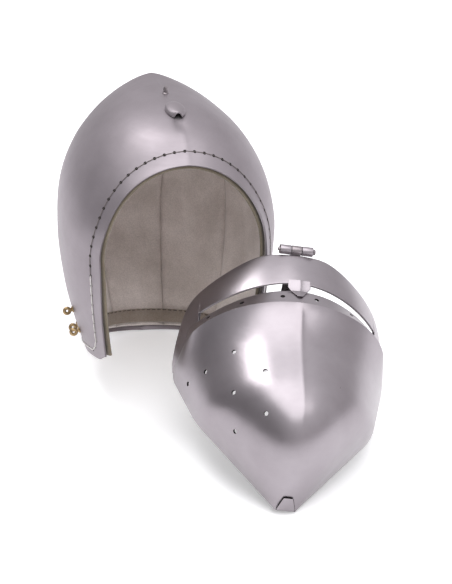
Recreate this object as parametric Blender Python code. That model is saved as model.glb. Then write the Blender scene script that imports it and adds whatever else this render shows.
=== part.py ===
"""Knight's helmet: a bascinet skull with its visor lifted off and set down in front.

Units are millimetres in the functions and metres in Blender (see MM).
Helmet frame: +X is the wearer's left, -Y is the front, +Z is up the head, and
Z = 0 is about level with the cheek tips.  The skull and the visor are both
drawn in this frame as they sit when the visor is mounted and closed.  Three
empties then place them: the whole helmet leans back on its nape, and the
visor lies in front of it with its hinge leaf hanging loose.
"""
import math

import bmesh
import bpy
from mathutils import Matrix, Vector

MM = 0.001

# Skull form -------------------------------------------------------------
APEX_Z = 256.2            # height of the point
APEX_BACK = 64.4          # how far behind the middle the point sits
BELT_Z = 120.0            # height of the widest section
HALF_WIDTH = 102.5
FRONT_DEPTH = 112.6
BACK_DEPTH = 149.5
STEEL = 2.0               # plate thickness
NECK_NARROW = 0.238       # share of the half width lost at the neck
NECK_BACK = 0.281
NECK_FRONT = 0.071
NECK_POWER = 1.8

# Face opening -----------------------------------------------------------
FACE_TOP_Z = 182.3
FACE_BEND_Z = 92.5        # the arch springs from here
FACE_SIDE = math.radians(53.1)
FACE_FOOT = math.radians(65.4)
CHEEK_Z = -9.0
NAPE_DROP = -7.5         # the nape's edge stands higher than the cheeks'
SIDE_RISE = 5.0
CORNER_LIFT = 6.0

# Lining -----------------------------------------------------------------
LINER_GAP = 1.5
LINER_THICK = 4.5
LINER_SEAMS = (126.0, 164.0, 202.0, 240.0)   # degrees round from the front
LINER_TOP_Z = 230.0
HEM_HEIGHT = 12.0
STITCH_INSET = 13.0       # thread line, from the opening's edge

# Vervelles (ring studs that the mail curtain hangs from) -----------------
NAPE_STUDS = 11
STUD_START = math.radians(96.0)
STUD_Z = 11.5             # height of the studs at the nape
STUD_RISE = 5.7           # and how much higher they would be at the cheek tips
CHEEK_STUD_Z = 35.7

SOCKET_Z = 229.0
SOCKET_LONG = 13.5        # half length of the hood
PEG_Z = 241.5

# Visor ------------------------------------------------------------------
BROW_TOP_Z = 256.8        # the visor follows a rounder brow than the skull's
BROW_BACK = 49.5
BROW_WIDTH = 100.2
BROW_DEPTH = 116.3
BAND_OUT = 3.5            # outer face of the brow band, off that brow
LEDGE_OUT = 5.5
SLOT_Z = 158.9
SLOT_FALL = 25.7          # the slots fall this much to their outer ends
SLOT_X = 85.3
SLOT_HALF = 4.8
BRIDGE_TOP_Z = 166.5
CREASE_Z = 139.7
CREASE_Y = -125.5
TIP_Z = -53.4
TIP_Y = -97.5
TIP_X = 10.0
MASK_SWELL = 52.0
BREATH_DIAMETER = 4.6

# Hinge ------------------------------------------------------------------
HINGE_Z = 201.0
HINGE_Y = -91.1
BARREL_RADIUS = 4.6
PIN_RADIUS = 1.7
LEAF_LENGTH = 54.0
LEAF_HANG = math.radians(137.0)   # leaf direction, from straight up, toward the back

# Placing ----------------------------------------------------------------
STAND_AT = Vector((-46.00, 29.87, 44.84))
LEAN_BACK = math.radians(23.8)
LEAN_AXIS = Vector((math.cos(math.radians(14.1)), -math.sin(math.radians(14.1)), 0.0))
VISOR_AT = Vector((72.5, -96.0, -118.2))
VISOR_TURN = (math.radians(-24.4), math.radians(7.7), math.radians(-4.5))


# Surfaces ---------------------------------------------------------------

def section(z):
    """Half width, front depth, back depth and middle of the skull at height z."""
    if z >= BELT_Z:
        s = min((z - BELT_Z) / (APEX_Z - BELT_Z), 1.0)
        width = HALF_WIDTH * (1.0 - s ** 2.373) ** 0.713
        front = FRONT_DEPTH * (1.0 - s ** 7.57) ** 1.445
        back = BACK_DEPTH * (1.0 - s ** 1.42) ** 1.368
        return width, front, back, APEX_BACK * s ** 1.191
    t = ((BELT_Z - z) / BELT_Z) ** NECK_POWER
    width = HALF_WIDTH * (1.0 - NECK_NARROW * t)
    front = FRONT_DEPTH * (1.0 - NECK_FRONT * t)
    back = BACK_DEPTH * (1.0 - NECK_BACK * t)
    return width, front, back, 0.0


def brow_section(z):
    """Half width, front depth and middle of the brow that the visor follows."""
    if z >= BELT_Z:
        s = min((z - BELT_Z) / (BROW_TOP_Z - BELT_Z), 1.0)
        width = BROW_WIDTH * (1.0 - s ** 2.34) ** 0.72
        front = BROW_DEPTH * (1.0 - s ** 2.66) ** 0.15
        return width, front, BROW_BACK * s ** 1.28
    t = ((BELT_Z - z) / BELT_Z) ** NECK_POWER
    return BROW_WIDTH * (1.0 - 0.226 * t), BROW_DEPTH * (1.0 - 0.09 * t), 0.0


def skull_raw(angle, z):
    width, front, back, middle = section(z)
    depth = front if math.cos(angle) > 0.0 else back
    return Vector((width * math.sin(angle), middle - depth * math.cos(angle), z))


def skull_point(angle, z, offset=0.0):
    """A point on the skull, angle 0 at the front, moved out along the normal."""
    here = skull_raw(angle, z)
    if offset == 0.0:
        return here
    around = skull_raw(angle + 0.01, z) - skull_raw(angle - 0.01, z)
    low = skull_raw(angle, z - 0.5)
    high = skull_raw(angle, min(z + 0.5, APEX_Z - 0.01))
    normal = around.cross(high - low).normalized()
    return here + normal * offset


def brow_point(x, z, offset):
    """A point on the front of the visor's brow at side x and height z, moved out."""
    width, front, middle = brow_section(z)
    width += offset
    front += offset
    reach = min(abs(x) / width, 0.9999)
    return Vector((x, middle - front * math.sqrt(1.0 - reach * reach), z))


def face_half_width(grow):
    """Half width of the opening where the arch springs, grown along the skull."""
    width = section(FACE_BEND_Z)[0]
    return width * math.sin(FACE_SIDE + grow / width)


def face_angle(z, grow=0.0):
    """Angle of the face opening's edge at height z; 0 above the opening."""
    width = section(z)[0]
    if z <= FACE_BEND_Z:
        blend = (FACE_BEND_Z - z) / (FACE_BEND_Z - CHEEK_Z)
        return FACE_SIDE + (FACE_FOOT - FACE_SIDE) * blend ** 1.6 + grow / width
    side = face_half_width(grow)
    rise = (z - FACE_BEND_Z) / (FACE_TOP_Z + grow - FACE_BEND_Z)
    if rise >= 1.0:
        return 0.0
    return math.asin(min(side * math.sqrt(1.0 - rise * rise) / width, 0.999))


def foot_z(angle):
    """Height of the skull's lower edge at an angle."""
    turn = (abs(angle) - FACE_FOOT) / (math.pi - FACE_FOOT)
    turn = max(0.0, min(1.0, turn))
    corner = CORNER_LIFT * math.exp(-(turn / 0.05) ** 2)
    rise = SIDE_RISE * math.sin(math.pi * turn)
    return CHEEK_Z + rise - NAPE_DROP * turn * turn + corner


def edge_angle_height(t, grow):
    """Angle and height of a path along the face opening, t from -1 to 1."""
    leg = 0.5
    if abs(t) > leg:
        z = FACE_BEND_Z + (CHEEK_Z + 6.0 - FACE_BEND_Z) * (abs(t) - leg) / (1.0 - leg)
        return math.copysign(face_angle(z, grow), t), z
    turn = math.pi / 2 * (1.0 - abs(t) / leg)
    side = face_half_width(grow)
    z = FACE_BEND_Z + (FACE_TOP_Z + grow - FACE_BEND_Z) * math.sin(turn)
    x = side * math.cos(turn)
    return math.copysign(math.asin(min(x / section(z)[0], 0.999)), t), z


def edge_point(t, grow, offset):
    angle, z = edge_angle_height(t, grow)
    return skull_point(angle, z, offset)


def slot_z(x):
    return SLOT_Z - SLOT_FALL * (x / SLOT_X) ** 2


def mask_side(v):
    """Right-hand edge of the mask from crease (v = 0) to tip (v = 1)."""
    stops = (
        (0.0, Vector((95.5, -57.0, 109.0))),
        (0.15, Vector((101.5, -26.0, 84.0))),
        (0.45, Vector((84.0, -72.0, 28.0))),
        (1.0, Vector((TIP_X, TIP_Y, TIP_Z))),
    )
    for (v0, p0), (v1, p1) in zip(stops, stops[1:]):
        if v <= v1:
            return p0.lerp(p1, (v - v0) / (v1 - v0))
    return stops[-1][1]


def mask_ridge(v):
    swell = MASK_SWELL * math.sin(math.pi * v ** 1.6)
    return Vector((0.0, CREASE_Y + (TIP_Y - CREASE_Y) * v - swell, CREASE_Z + (TIP_Z - CREASE_Z) * v))


def mask_point(turn, v):
    """A point on the mask's outer face; turn -90 to 90 degrees runs across it."""
    side = mask_side(v)
    ridge = mask_ridge(v)
    across = max(math.cos(turn), 0.0)
    x = side.x * math.sin(turn)
    y = side.y + (ridge.y - side.y) * across
    z = side.z + (ridge.z - side.z) * across ** 1.3
    return Vector((x, y, z))


# Mesh tools -------------------------------------------------------------

def material(name, colour, roughness, metallic):
    mat = bpy.data.materials.new(name)
    mat.use_nodes = True
    shader = mat.node_tree.nodes["Principled BSDF"]
    shader.inputs["Base Color"].default_value = (*colour, 1.0)
    shader.inputs["Roughness"].default_value = roughness
    shader.inputs["Metallic"].default_value = metallic
    return mat


def finish(name, bm, mat, parent, origin=Vector((0.0, 0.0, 0.0))):
    """Turn millimetre bmesh geometry into a named object under a parent empty."""
    bmesh.ops.remove_doubles(bm, verts=bm.verts, dist=0.02)
    bmesh.ops.recalc_face_normals(bm, faces=bm.faces)
    bmesh.ops.translate(bm, verts=bm.verts, vec=-origin)
    bmesh.ops.scale(bm, verts=bm.verts, vec=(MM, MM, MM))
    mesh = bpy.data.meshes.new(name)
    bm.to_mesh(mesh)
    bm.free()
    obj = bpy.data.objects.new(name, mesh)
    bpy.context.scene.collection.objects.link(obj)
    mesh.materials.append(material(name + "_material", *mat))
    obj.parent = parent
    obj.location = origin * MM
    return obj


def sheet(outer, inner, closed=False):
    """A closed plate between two equal grids of points, rows of columns."""
    bm = bmesh.new()
    rows = len(outer)
    cols = len(outer[0])
    top = [[bm.verts.new(p) for p in row] for row in outer]
    low = [[bm.verts.new(p) for p in row] for row in inner]
    spans = cols if closed else cols - 1
    for i in range(rows - 1):
        for j in range(spans):
            k = (j + 1) % cols
            bm.faces.new((top[i][j], top[i][k], top[i + 1][k], top[i + 1][j]))
            bm.faces.new((low[i][j], low[i + 1][j], low[i + 1][k], low[i][k]))
    for j in range(spans):
        k = (j + 1) % cols
        bm.faces.new((top[0][j], low[0][j], low[0][k], top[0][k]))
        bm.faces.new((top[-1][j], top[-1][k], low[-1][k], low[-1][j]))
    if not closed:
        for i in range(rows - 1):
            bm.faces.new((top[i][0], top[i + 1][0], low[i + 1][0], low[i][0]))
            bm.faces.new((top[i][-1], low[i][-1], low[i + 1][-1], top[i + 1][-1]))
    return bm


def thicken(grid, thickness):
    """Inner grid of a plate: each point moved in against the grid's normal."""
    rows = len(grid)
    cols = len(grid[0])
    inner = []
    for i in range(rows):
        row = []
        for j in range(cols):
            across = grid[i][min(j + 1, cols - 1)] - grid[i][max(j - 1, 0)]
            down = grid[min(i + 1, rows - 1)][j] - grid[max(i - 1, 0)][j]
            normal = down.cross(across).normalized()
            row.append(grid[i][j] - normal * thickness)
        inner.append(row)
    return inner


def sweep(path, sides):
    """A closed bar through a list of cross-sections, each a ring of points."""
    bm = bmesh.new()
    rings = [[bm.verts.new(p) for p in ring] for ring in path]
    for a, b in zip(rings, rings[1:]):
        for j in range(sides):
            k = (j + 1) % sides
            bm.faces.new((a[j], a[k], b[k], b[j]))
    bm.faces.new(rings[0])
    bm.faces.new(list(reversed(rings[-1])))
    return bm


def tube_between(start, end, radius, sides, bore=0.0):
    """A cylinder, or a tube if it has a bore, between two points."""
    axis = (end - start).normalized()
    turn = axis.to_track_quat("Z", "Y").to_matrix()
    length = (end - start).length
    rings = ((radius, 0.0), (radius, length))
    bm = bmesh.new()
    if bore > 0.0:
        rings = ((radius, 0.0), (radius, length), (bore, length), (bore, 0.0))
    loops = []
    for r, h in rings:
        loop = []
        for j in range(sides):
            a = 2 * math.pi * j / sides
            loop.append(bm.verts.new(start + turn @ Vector((r * math.cos(a), r * math.sin(a), h))))
        loops.append(loop)
    pairs = list(zip(loops, loops[1:]))
    if bore > 0.0:
        pairs.append((loops[-1], loops[0]))
    for a, b in pairs:
        for j in range(sides):
            k = (j + 1) % sides
            bm.faces.new((a[j], a[k], b[k], b[j]))
    if bore == 0.0:
        bm.faces.new(list(reversed(loops[0])))
        bm.faces.new(loops[1])
    return bm


def boolean(target, bm, operation, name):
    """Cut a millimetre bmesh from a target, or join it on, with a modifier."""
    cutter = finish(name, bm, ((0.5, 0.5, 0.5), 0.5, 0.0), target.parent)
    cutter.hide_render = True
    cutter.display_type = "WIRE"
    mod = target.modifiers.new(name, "BOOLEAN")
    mod.operation = operation
    mod.solver = "EXACT"
    mod.object = cutter
    return cutter


# Colours: base colour, roughness, metallic ------------------------------

SKULL_STEEL = ((0.56, 0.54, 0.58), 0.30, 1.0)
VISOR_STEEL = ((0.72, 0.71, 0.73), 0.22, 1.0)
HINGE_STEEL = ((0.60, 0.59, 0.60), 0.30, 1.0)
BRASS = ((0.50, 0.38, 0.24), 0.38, 1.0)
LINEN = ((0.46, 0.43, 0.42), 0.90, 0.0)
HEM_CLOTH = ((0.42, 0.39, 0.37), 0.90, 0.0)
SUEDE_EDGE = ((0.58, 0.54, 0.48), 0.85, 0.0)
THREAD = ((0.72, 0.69, 0.66), 0.80, 0.0)


# Skull pieces -----------------------------------------------------------

def skull_heights():
    """Row heights below the arch's top, then above it up to the point."""
    legs = [i / 6 for i in range(6)]
    arch = [FACE_BEND_Z + (FACE_TOP_Z - FACE_BEND_Z) * math.sin(math.pi / 2 * i / 7) for i in range(8)]
    crown = [FACE_TOP_Z + (APEX_Z - FACE_TOP_Z) * math.sin(math.pi / 2 * i / 7) for i in range(1, 8)]
    return legs, arch, crown


def skull_grid(columns, offset):
    legs, arch, crown = skull_heights()
    grid = []
    for share in legs:
        row = []
        for j in range(columns + 1):
            edge = face_angle(CHEEK_Z + share * (FACE_BEND_Z - CHEEK_Z))
            angle = edge + (2 * math.pi - 2 * edge) * j / columns
            signed = angle if angle <= math.pi else angle - 2 * math.pi
            foot = foot_z(signed)
            row.append(skull_point(angle, foot + (FACE_BEND_Z - foot) * share, offset))
        grid.append(row)
    for z in arch + crown:
        edge = face_angle(z)
        high = min(z, APEX_Z - 0.6)
        grid.append([skull_point(edge + (2 * math.pi - 2 * edge) * j / columns, high, offset)
                     for j in range(columns + 1)])
    return grid


def build_bowl(parent):
    """The skull: one closed plate, open at the face and the foot."""
    columns = 44
    bm = bmesh.new()
    layers = []
    for offset, tip_z in ((0.0, APEX_Z), (-STEEL, APEX_Z - 1.6 * STEEL)):
        grid = skull_grid(columns, offset)[:-1]
        verts = [[bm.verts.new(p) for p in row] for row in grid]
        tip = bm.verts.new(Vector((0.0, APEX_BACK, tip_z)))
        layers.append((verts, tip))
    rows = len(layers[0][0])
    joined = 6 + 7              # rows from the arch's top up close in a ring
    for index, (verts, tip) in enumerate(layers):
        for i in range(rows - 1):
            for j in range(columns):
                bm.faces.new((verts[i][j], verts[i][j + 1], verts[i + 1][j + 1], verts[i + 1][j]))
        for j in range(columns):
            bm.faces.new((verts[-1][j], verts[-1][j + 1], tip))
    outer, inner = layers[0][0], layers[1][0]
    for j in range(columns):
        bm.faces.new((outer[0][j], outer[0][j + 1], inner[0][j + 1], inner[0][j]))
    for i in range(joined):
        bm.faces.new((outer[i][0], outer[i + 1][0], inner[i + 1][0], inner[i][0]))
        bm.faces.new((outer[i][-1], outer[i + 1][-1], inner[i + 1][-1], inner[i][-1]))
    return finish("skull_bowl", bm, SKULL_STEEL, parent)


def liner_heights(inset):
    """Rows of a lining panel: up the legs, round the arch, then the crown."""
    foot = CHEEK_Z + 4.0
    top = FACE_TOP_Z + inset
    legs = [foot + (FACE_BEND_Z - foot) * i / 3 for i in range(3)]
    arch = [FACE_BEND_Z + (top - FACE_BEND_Z) * math.sin(math.pi / 2 * i / 6) for i in range(7)]
    crown = [top + (LINER_TOP_Z - top) * i / 4 for i in range(1, 5)]
    return legs + arch + crown


def build_liner(parent):
    """Quilted lining: panels side by side, then the hem and the edge binding."""
    outer_off = -(STEEL + LINER_GAP)
    inner_off = outer_off - LINER_THICK
    columns = 6
    inset = 7.0
    heights = liner_heights(inset)
    for panel in range(len(LINER_SEAMS) + 1):
        outer, inner = [], []
        for z_line in heights:
            share = (z_line - heights[0]) / (LINER_TOP_Z - heights[0])
            edge = face_angle(z_line, inset)
            seam = 0.35 / max(section(z_line)[0], 20.0)
            bounds = [edge] + [math.radians(a) for a in LINER_SEAMS] + [2 * math.pi - edge]
            first = bounds[panel] + seam
            last = bounds[panel + 1] - seam
            row_out, row_in = [], []
            for j in range(columns + 1):
                angle = first + (last - first) * j / columns
                signed = angle if angle <= math.pi else angle - 2 * math.pi
                lift = (foot_z(signed) + 3.0 - (CHEEK_Z + 4.0)) * (1.0 - share) ** 3
                row_out.append(skull_point(angle, z_line + lift, outer_off))
                row_in.append(skull_point(angle, z_line + lift, inner_off))
            outer.append(row_out)
            inner.append(row_in)
        finish("liner_panel_%d" % (panel + 1), sheet(outer, inner), LINEN, parent)

    columns = 30
    outer, inner = [], []
    for i in range(3):
        row_out, row_in = [], []
        for j in range(columns + 1):
            edge = face_angle(CHEEK_Z + 10.0, inset + 6.0)
            angle = edge + (2 * math.pi - 2 * edge) * j / columns
            signed = angle if angle <= math.pi else angle - 2 * math.pi
            z = foot_z(signed) + 4.0 + HEM_HEIGHT * i / 2
            row_out.append(skull_point(angle, z, inner_off - 1.4))
            row_in.append(skull_point(angle, z, inner_off - 3.2))
        outer.append(row_out)
        inner.append(row_in)
    finish("liner_hem", sheet(outer, inner), HEM_CLOTH, parent)

    path = []
    steps = 40
    for i in range(steps + 1):
        t = -1.0 + 2.0 * i / steps
        path.append([
            edge_point(t, 5.5, outer_off - 0.6),
            edge_point(t, -1.6, outer_off - 0.5),
            edge_point(t, -1.6, outer_off - 3.2),
            edge_point(t, 5.5, inner_off),
        ])
    finish("liner_edge_binding", sweep(path, 4), SUEDE_EDGE, parent)


def build_thread(parent):
    path = []
    steps = 44
    for i in range(steps + 1):
        t = -1.0 + 2.0 * i / steps
        lift = 0.9
        path.append([
            edge_point(t, STITCH_INSET - 0.6, lift - 0.5),
            edge_point(t, STITCH_INSET + 0.6, lift - 0.5),
            edge_point(t, STITCH_INSET, lift + 0.4),
        ])
    finish("stitching_thread", sweep(path, 3), THREAD, parent)


def frame_at(angle, z, offset=0.0):
    """Origin, outward normal and up direction of the skull at an angle."""
    here = skull_point(angle, z, offset)
    out = (skull_point(angle, z, 5.0) - skull_point(angle, z)).normalized()
    side = (skull_point(angle + 0.02, z) - skull_point(angle - 0.02, z)).normalized()
    return here, out, out.cross(side).normalized(), side


def build_stud(name, angle, z, parent):
    """A vervelle: a stem standing off the plate with a ring at its end."""
    here, out, up, side = frame_at(angle, z, 0.3)
    stem = tube_between(here, here + out * 4.6, 2.2, 8)
    obj = finish(name, stem, BRASS, parent)
    ring = bmesh.new()
    around, tube = 10, 6
    centre = here + out * 7.2
    loops = []
    for i in range(around):
        a = 2 * math.pi * i / around
        spoke = out * math.cos(a) + up * math.sin(a)
        loop = []
        for j in range(tube):
            b = 2 * math.pi * j / tube
            loop.append(ring.verts.new(centre + spoke * (3.1 + 1.5 * math.cos(b)) + side * 2.0 * math.sin(b)))
        loops.append(loop)
    for i in range(around):
        a, b = loops[i], loops[(i + 1) % around]
        for j in range(tube):
            k = (j + 1) % tube
            ring.faces.new((a[j], a[k], b[k], b[j]))
    boolean(obj, ring, "UNION", name + "_ring_tool")
    return obj


def build_studs(parent):
    last = 2 * math.pi - STUD_START
    for i in range(NAPE_STUDS):
        angle = STUD_START + (last - STUD_START) * i / (NAPE_STUDS - 1)
        away = abs(angle - math.pi) / (math.pi - FACE_FOOT)
        build_stud("vervelle_%02d" % (i + 1), angle, STUD_Z + STUD_RISE * away, parent)
    for name, angle in (("cheek_vervelle_left", STUD_START), ("cheek_vervelle_right", last)):
        build_stud(name, angle, CHEEK_STUD_Z, parent)


def build_socket(parent):
    """The hood on the forehead that the hinge leaf's tongue slides up into."""
    here, out, up, side = frame_at(0.0, SOCKET_Z)
    rows, cols = 8, 10
    outer, inner = [], []
    for i in range(rows + 1):
        row_out, row_in = [], []
        along = -1.0 + 2.0 * i / rows
        half = 9.6 * math.sqrt(max(1.0 - (0.93 * along) ** 2, 0.0))
        for j in range(cols + 1):
            across = -1.0 + 2.0 * j / cols
            dome = math.sqrt(max(1.0 - across * across, 0.0)) * math.sqrt(max(1.0 - along * along, 0.0) * 0.8 + 0.2)
            mouth = 2.6 * max(0.0, -along) ** 2 * max(0.0, 1.0 - across * across)
            flat = skull_drop(here, out, up, side, half * across, SOCKET_LONG * along)
            lift = 0.35 + 4.2 * dome + mouth
            row_out.append(flat + out * (lift + 1.6))
            row_in.append(flat + out * lift)
        outer.append(row_out)
        inner.append(row_in)
    finish("visor_socket", sheet(outer, inner), SKULL_STEEL, parent)


def skull_drop(here, out, up, side, a, b):
    """The skull's surface under a point a across and b up a local frame."""
    probe = here + side * a + up * b
    low, high = -20.0, 20.0
    for _ in range(24):
        mid = 0.5 * (low + high)
        p = probe + out * mid
        if inside_skull(p):
            low = mid
        else:
            high = mid
    return probe + out * high


def inside_skull(p):
    width, front, back, middle = section(min(p.z, APEX_Z - 0.01))
    depth = front if p.y < middle else back
    return (p.x / max(width, 0.1)) ** 2 + ((p.y - middle) / max(depth, 0.1)) ** 2 < 1.0


def build_peg(parent):
    """The small upright catch above the socket."""
    here, out, up, side = frame_at(0.0, PEG_Z, 0.4)
    finish("catch_peg", tube_between(here, here + out * 7.0, 2.3, 12), SKULL_STEEL, parent)


# Visor pieces -----------------------------------------------------------

def band_top(turn):
    """Upper edge of the brow band, by angle round the skull in degrees."""
    stops = ((0.0, 195.6), (16.8, 195.2), (24.4, 192.6), (32.9, 185.8), (41.8, 176.9), (51.5, 166.8),
             (61.0, 156.2), (66.5, 145.0), (69.8, 131.0), (73.6, 117.3), (78.5, 97.0))
    for (a0, z0), (a1, z1) in zip(stops, stops[1:]):
        if turn <= a1:
            return z0 + (z1 - z0) * (turn - a0) / (a1 - a0)
    return stops[-1][1]


def band_foot(turn):
    """Lower edge of the brow band: the slot, then the joint with the mask."""
    slot_end = 55.4
    if turn <= slot_end:
        x = (BROW_WIDTH + BAND_OUT) * math.sin(math.radians(turn))
        return slot_z(x) + SLOT_HALF
    return 113.0 + (88.0 - 113.0) * (turn - slot_end) / (78.5 - slot_end)


def build_band(parent):
    turns = [-78.5, -73.6, -69.8, -66.5, -61.0, -56.6, -55.4, -51.5, -46.0, -41.8, -32.9, -24.4, -16.8, -8.0]
    turns = turns + [0.0] + [-t for t in reversed(turns)]
    rows = 5
    outer, inner = [], []
    for i in range(rows):
        row_out, row_in = [], []
        for turn in turns:
            top = band_top(abs(turn))
            foot = band_foot(abs(turn))
            z = top + (foot - top) * i / (rows - 1)
            width, front, middle = brow_section(z)
            a = math.radians(turn)
            for offset, row in ((BAND_OUT, row_out), (BAND_OUT - STEEL, row_in)):
                row.append(Vector(((width + offset) * math.sin(a), middle - (front + offset) * math.cos(a), z)))
        outer.append(row_out)
        inner.append(row_in)
    finish("visor_brow_band", sheet(outer, inner), VISOR_STEEL, parent)


def mask_grid(columns, rows):
    grid = []
    edge_row = []
    for j in range(columns + 1):
        turn = -math.pi / 2 + math.pi * j / columns
        x = 92.0 * math.sin(turn)
        edge_row.append(brow_point(x, slot_z(x) - SLOT_HALF, LEDGE_OUT))
    grid.append(edge_row)
    for i in range(rows + 1):
        v = i / rows
        grid.append([mask_point(-math.pi / 2 + math.pi * j / columns, v) for j in range(columns + 1)])
    return grid


# Breath holes sit on the wearer's right only: degrees across, share down the mask.
BREATH_HOLES = (
    (-22.5, 0.37), (-37.8, 0.23), (-59.0, 0.27), (-76.0, 0.265),
    (-30.4, 0.59), (-45.8, 0.44), (-61.6, 0.61),
)
LEDGE_HOLES = (-78.6, -51.7, -16.0, 16.0, 51.7, 78.6)


def ledge_point(turn, share):
    x = 92.0 * math.sin(turn)
    top = brow_point(x, slot_z(x) - SLOT_HALF, LEDGE_OUT)
    return top.lerp(mask_point(turn, 0.0), share)


def hole_tool(surface, a, b):
    """A short rod through a surface at parameters a and b, along its normal."""
    here = surface(a, b)
    across = surface(a + 0.02, b) - surface(a - 0.02, b)
    down = surface(a, b + 0.01) - surface(a, b - 0.01)
    normal = across.cross(down).normalized()
    return tube_between(here - normal * 5.0, here + normal * 5.0, BREATH_DIAMETER / 2, 10)


def build_mask(parent):
    grid = mask_grid(24, 13)
    mask = finish("visor_mask", sheet(grid, thicken(grid, STEEL)), VISOR_STEEL, parent)
    rods = [hole_tool(mask_point, math.radians(turn), v) for turn, v in BREATH_HOLES]
    rods += [hole_tool(ledge_point, math.asin(x / 92.0), 0.5) for x in LEDGE_HOLES]
    tools = bmesh.new()
    for rod in rods:
        mesh = bpy.data.meshes.new("rod")
        rod.to_mesh(mesh)
        rod.free()
        tools.from_mesh(mesh)
        bpy.data.meshes.remove(mesh)
    boolean(mask, tools, "DIFFERENCE", "mask_hole_tools")


def build_bridge(parent):
    """The nasal bridge: a small pointed plate between the two sight slots."""
    rows = 5
    outer, inner = [], []
    for i in range(rows + 1):
        z = BRIDGE_TOP_Z + (CREASE_Z + 1.0 - BRIDGE_TOP_Z) * i / rows
        half = 10.5 if i < 3 else 10.5 - 8.0 * (i - 2) / (rows - 2)
        share = min(max((z - CREASE_Z) / (SLOT_Z - SLOT_HALF - CREASE_Z), 0.0), 1.0)
        ledge_y = brow_point(0.0, slot_z(0.0) - SLOT_HALF, LEDGE_OUT).y
        face = ledge_y * share + CREASE_Y * (1.0 - share)
        row_out, row_in = [], []
        for j in range(7):
            x = half * (-1.0 + j / 3)
            y = face + 0.05 * abs(x) - 0.45
            row_out.append(Vector((x, y - 1.6, z)))
            row_in.append(Vector((x, y, z)))
        outer.append(row_out)
        inner.append(row_in)
    finish("nasal_bridge", sheet(outer, inner), VISOR_STEEL, parent)


def build_tab(parent):
    """The folded tab that closes the mask's cut-off tip."""
    outer, inner = [], []
    for z, half, y in ((TIP_Z + 11.0, 4.2, TIP_Y - 17.0), (TIP_Z + 1.0, 8.6, TIP_Y - 4.0), (TIP_Z - 1.6, 9.2, TIP_Y - 0.5)):
        outer.append([Vector((x, y - 1.4, z)) for x in (-half, 0.0, half)])
        inner.append([Vector((x, y, z)) for x in (-half, 0.0, half)])
    finish("chin_tab", sheet(outer, inner), VISOR_STEEL, parent)


# Hinge pieces -----------------------------------------------------------

def build_hinge(visor, leaf_frame):
    centre = Vector((0.0, HINGE_Y, HINGE_Z))
    bore = PIN_RADIUS + 0.3
    for name, x0, x1 in (("outer_knuckle_right", -16.0, -5.2), ("outer_knuckle_left", 5.2, 16.0)):
        start = centre + Vector((x0, 0.0, 0.0))
        end = centre + Vector((x1, 0.0, 0.0))
        finish(name, tube_between(start, end, BARREL_RADIUS, 18, bore), VISOR_STEEL, visor)
    pin = tube_between(centre + Vector((-17.4, 0.0, 0.0)), centre + Vector((17.0, 0.0, 0.0)), PIN_RADIUS, 14)
    pin_obj = finish("hinge_pin", pin, HINGE_STEEL, visor)
    head = tube_between(centre + Vector((16.4, 0.0, 0.0)), centre + Vector((18.6, 0.0, 0.0)), 2.8, 14)
    boolean(pin_obj, head, "UNION", "pin_head_tool")

    half = 4.9
    start = Vector((-half, 0.0, 0.0))
    end = Vector((half, 0.0, 0.0))
    knuckle = tube_between(start, end, BARREL_RADIUS, 18, bore)
    leaf = finish("hinge_leaf", knuckle, HINGE_STEEL, leaf_frame)
    along = Vector((0.0, math.sin(LEAF_HANG), math.cos(LEAF_HANG)))
    face = Vector((0.0, -math.cos(LEAF_HANG), math.sin(LEAF_HANG)))
    outline = ((4.9, 3.4), (4.9, 8.0), (6.5, 14.0), (6.5, LEAF_LENGTH - 9.0), (4.0, LEAF_LENGTH))
    outer, inner = [], []
    for half_width, reach in outline:
        outer.append([along * reach + face * 1.1 + Vector((x, 0.0, 0.0)) for x in (-half_width, half_width)])
        inner.append([along * reach - face * 0.7 + Vector((x, 0.0, 0.0)) for x in (-half_width, half_width)])
    boolean(leaf, sheet(outer, inner), "UNION", "leaf_plate_tool")
    hole_at = along * (LEAF_LENGTH - 8.0)
    boolean(leaf, tube_between(hole_at - face * 6.0, hole_at + face * 6.0, 2.6, 12), "DIFFERENCE", "leaf_hole_tool")


# Assembly ---------------------------------------------------------------

def empty(name, parent, location):
    obj = bpy.data.objects.new(name, None)
    bpy.context.scene.collection.objects.link(obj)
    obj.parent = parent
    obj.location = location * MM
    return obj


def main():
    for obj in list(bpy.data.objects):
        bpy.data.objects.remove(obj, do_unlink=True)
    stand = empty("helmet_frame", None, STAND_AT)
    stand.rotation_mode = "QUATERNION"
    stand.rotation_quaternion = Matrix.Rotation(-LEAN_BACK, 3, LEAN_AXIS).to_quaternion()
    visor = empty("visor_frame", stand, VISOR_AT)
    visor.rotation_euler = VISOR_TURN
    leaf_frame = empty("leaf_frame", visor, Vector((0.0, HINGE_Y, HINGE_Z)))

    build_bowl(stand)
    build_socket(stand)
    build_peg(stand)
    build_liner(stand)
    build_thread(stand)
    build_studs(stand)
    build_band(visor)
    build_mask(visor)
    build_bridge(visor)
    build_tab(visor)
    build_hinge(visor, leaf_frame)


main()
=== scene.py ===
import math

import bmesh
import bpy
from mathutils import Matrix, Vector, noise
from mathutils.kdtree import KDTree


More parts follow.
